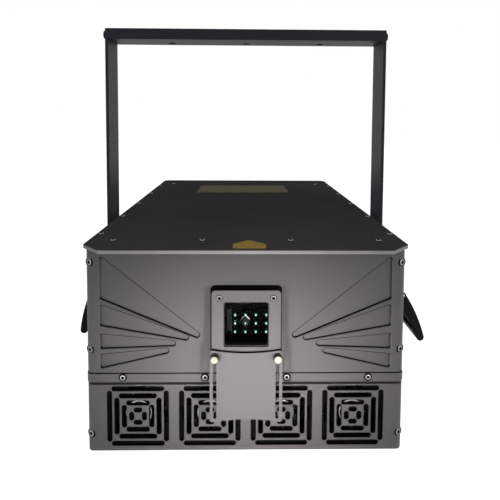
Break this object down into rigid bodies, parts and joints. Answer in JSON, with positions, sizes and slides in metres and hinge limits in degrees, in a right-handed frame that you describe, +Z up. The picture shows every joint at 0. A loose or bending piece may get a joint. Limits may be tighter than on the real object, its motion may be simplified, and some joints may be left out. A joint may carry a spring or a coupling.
{
  "type": "laser show projector",
  "caption": "Box-shaped stage laser projector in a tilting yoke, with slotted fan grilles, a beam window behind a sliding shutter, folding side handles and rear sockets.",
  "frame": {"origin": "middle of the part's bounding box, on the floor under the rubber feet", "axes": "+X to the right seen from the front, +Y from the front window to the rear sockets, +Z up"},
  "size_m": [0.5184, 0.6742, 0.5948],
  "materials": {
    "grey_coat": "satin gunmetal powder coat on aluminium sheet",
    "black_lid": "satin black powder coat on aluminium plate",
    "black_coat": "satin black powder coat on aluminium bar",
    "grip_plastic": "black moulded plastic, fine texture",
    "screw_steel": "bright button-head screws",
    "stud_steel": "turned steel",
    "rubber": "black rubber",
    "thumb_brass": "pale nickelled brass, knurled",
    "window_glass": "clear coated pane",
    "fan_plastic": "black moulded plastic",
    "aluminium": "milled aluminium",
    "laser_case": "black anodised aluminium",
    "lens_glow": "glowing green collimator lenses",
    "mirror": "first-surface mirror",
    "supply_case": "sheet case round windings and air",
    "board": "green circuit board",
    "socket_plastic": "black moulded plastic",
    "key_steel": "nickelled metal"
  },
  "bodies": {
    "housing": {"front_panel": "grey_coat", "fan_panel": "grey_coat", "side_panel_left": "grey_coat", "side_panel_right": "grey_coat", "rear_panel": "grey_coat", "base_plate": "grey_coat", "window_bezel": "grey_coat", "top_lid": "black_lid", "handle_base_left": "black_coat", "handle_base_right": "black_coat", "lid_screws": "screw_steel", "panel_screws": "screw_steel", "bezel_screws": "screw_steel", "handle_screws": "screw_steel", "fan_screws": "screw_steel", "handle_pins": "screw_steel", "pivot_studs": "stud_steel", "rubber_feet": "rubber", "window_gasket": "rubber", "window_glass": "window_glass", "fan_frame_1": "fan_plastic", "fan_frame_2": "fan_plastic", "fan_frame_3": "fan_plastic", "fan_frame_4": "fan_plastic", "shutter_spacers": "fan_plastic", "heat_sink": "aluminium", "optics_plate": "aluminium", "mirror_mounts": "aluminium", "galvo_block": "aluminium", "cross_rails": "aluminium", "corner_posts": "aluminium", "green_diode_bank": "aluminium", "blue_laser_module": "laser_case", "red_laser_module": "laser_case", "green_diode_lenses": "lens_glow", "beam_mirrors": "mirror", "power_supply": "supply_case", "control_board": "board", "power_inlet": "socket_plastic", "signal_sockets": "key_steel"},
    "yoke": {"yoke_top_bar": "black_coat", "yoke_arm_left": "black_coat", "yoke_arm_right": "black_coat", "yoke_bolts": "screw_steel", "pivot_washers": "rubber"},
    "shutter": {"shutter_plate": "grey_coat"},
    "thumbscrew_left": {"thumbscrew_left": "thumb_brass"},
    "thumbscrew_right": {"thumbscrew_right": "thumb_brass"},
    "handle_left": {"handle_grip_left": "grip_plastic"},
    "handle_right": {"handle_grip_right": "grip_plastic"},
    "knob_left": {"pivot_knob_left": "grip_plastic"},
    "knob_right": {"pivot_knob_right": "grip_plastic"},
    "galvo_lower": {"galvo_mirror_lower": "mirror"},
    "galvo_upper": {"galvo_mirror_upper": "mirror"},
    "rocker": {"power_switch": "socket_plastic"},
    "key": {"key_switch": "key_steel"},
    "fan_1": {"fan_rotor_1": "fan_plastic"},
    "fan_2": {"fan_rotor_2": "fan_plastic"},
    "fan_3": {"fan_rotor_3": "fan_plastic"},
    "fan_4": {"fan_rotor_4": "fan_plastic"}
  },
  "joints": [
    {"name": "yoke_tilt", "type": "hinge", "parent": "housing", "child": "yoke", "pos_m": [0, -0.07103, 0.15002], "axis": [1, 0, 0], "range_deg": [-180, 25]},
    {"name": "shutter_slide", "type": "slide", "parent": "housing", "child": "shutter", "axis": [0, 0, 1], "range_m": [0, 0.07675]},
    {"name": "thumbscrew_left_turn", "type": "hinge", "parent": "housing", "child": "thumbscrew_left", "pos_m": [-0.0392, -0.3239, 0.14827], "axis": [0, -1, 0], "range_deg": [0, 720]},
    {"name": "thumbscrew_right_turn", "type": "hinge", "parent": "housing", "child": "thumbscrew_right", "pos_m": [0.0392, -0.3239, 0.14827], "axis": [0, -1, 0], "range_deg": [0, 720]},
    {"name": "handle_left_fold", "type": "hinge", "parent": "housing", "child": "handle_left", "pos_m": [-0.2119, -0.2469, 0.2079], "axis": [0, 1, 0], "range_deg": [-6, 75.6]},
    {"name": "handle_right_fold", "type": "hinge", "parent": "housing", "child": "handle_right", "pos_m": [0.2119, -0.2769, 0.2079], "axis": [0, -1, 0], "range_deg": [-14.4, 67.2]},
    {"name": "knob_left_turn", "type": "hinge", "parent": "housing", "child": "knob_left", "pos_m": [-0.237, -0.07103, 0.15002], "axis": [-1, 0, 0], "range_deg": [0, 720]},
    {"name": "knob_right_turn", "type": "hinge", "parent": "housing", "child": "knob_right", "pos_m": [0.237, -0.07103, 0.15002], "axis": [1, 0, 0], "range_deg": [0, 720]},
    {"name": "galvo_lower_scan", "type": "hinge", "parent": "housing", "child": "galvo_lower", "pos_m": [0, -0.2599, 0.1631], "axis": [1, 0, 0], "range_deg": [-12.5, 12.5]},
    {"name": "galvo_upper_scan", "type": "hinge", "parent": "housing", "child": "galvo_upper", "pos_m": [0, -0.2599, 0.1631], "axis": [0, 0, 1], "range_deg": [-12.5, 12.5]},
    {"name": "power_rocker", "type": "hinge", "parent": "housing", "child": "rocker", "pos_m": [-0.094, 0.3171, 0.05], "axis": [1, 0, 0], "range_deg": [-8, 8]},
    {"name": "key_turn", "type": "hinge", "parent": "housing", "child": "key", "pos_m": [0.142, 0.3171, 0.16865], "axis": [0, 1, 0], "range_deg": [0, 90]},
    {"name": "fan_1_spin", "type": "hinge", "parent": "housing", "child": "fan_1", "pos_m": [-0.1401, -0.2999, 0.0567], "axis": [0, 1, 0], "continuous": true},
    {"name": "fan_2_spin", "type": "hinge", "parent": "housing", "child": "fan_2", "pos_m": [-0.0467, -0.2999, 0.0567], "axis": [0, 1, 0], "continuous": true},
    {"name": "fan_3_spin", "type": "hinge", "parent": "housing", "child": "fan_3", "pos_m": [0.0467, -0.2999, 0.0567], "axis": [0, 1, 0], "continuous": true},
    {"name": "fan_4_spin", "type": "hinge", "parent": "housing", "child": "fan_4", "pos_m": [0.1401, -0.2999, 0.0567], "axis": [0, 1, 0], "continuous": true}
  ]
}
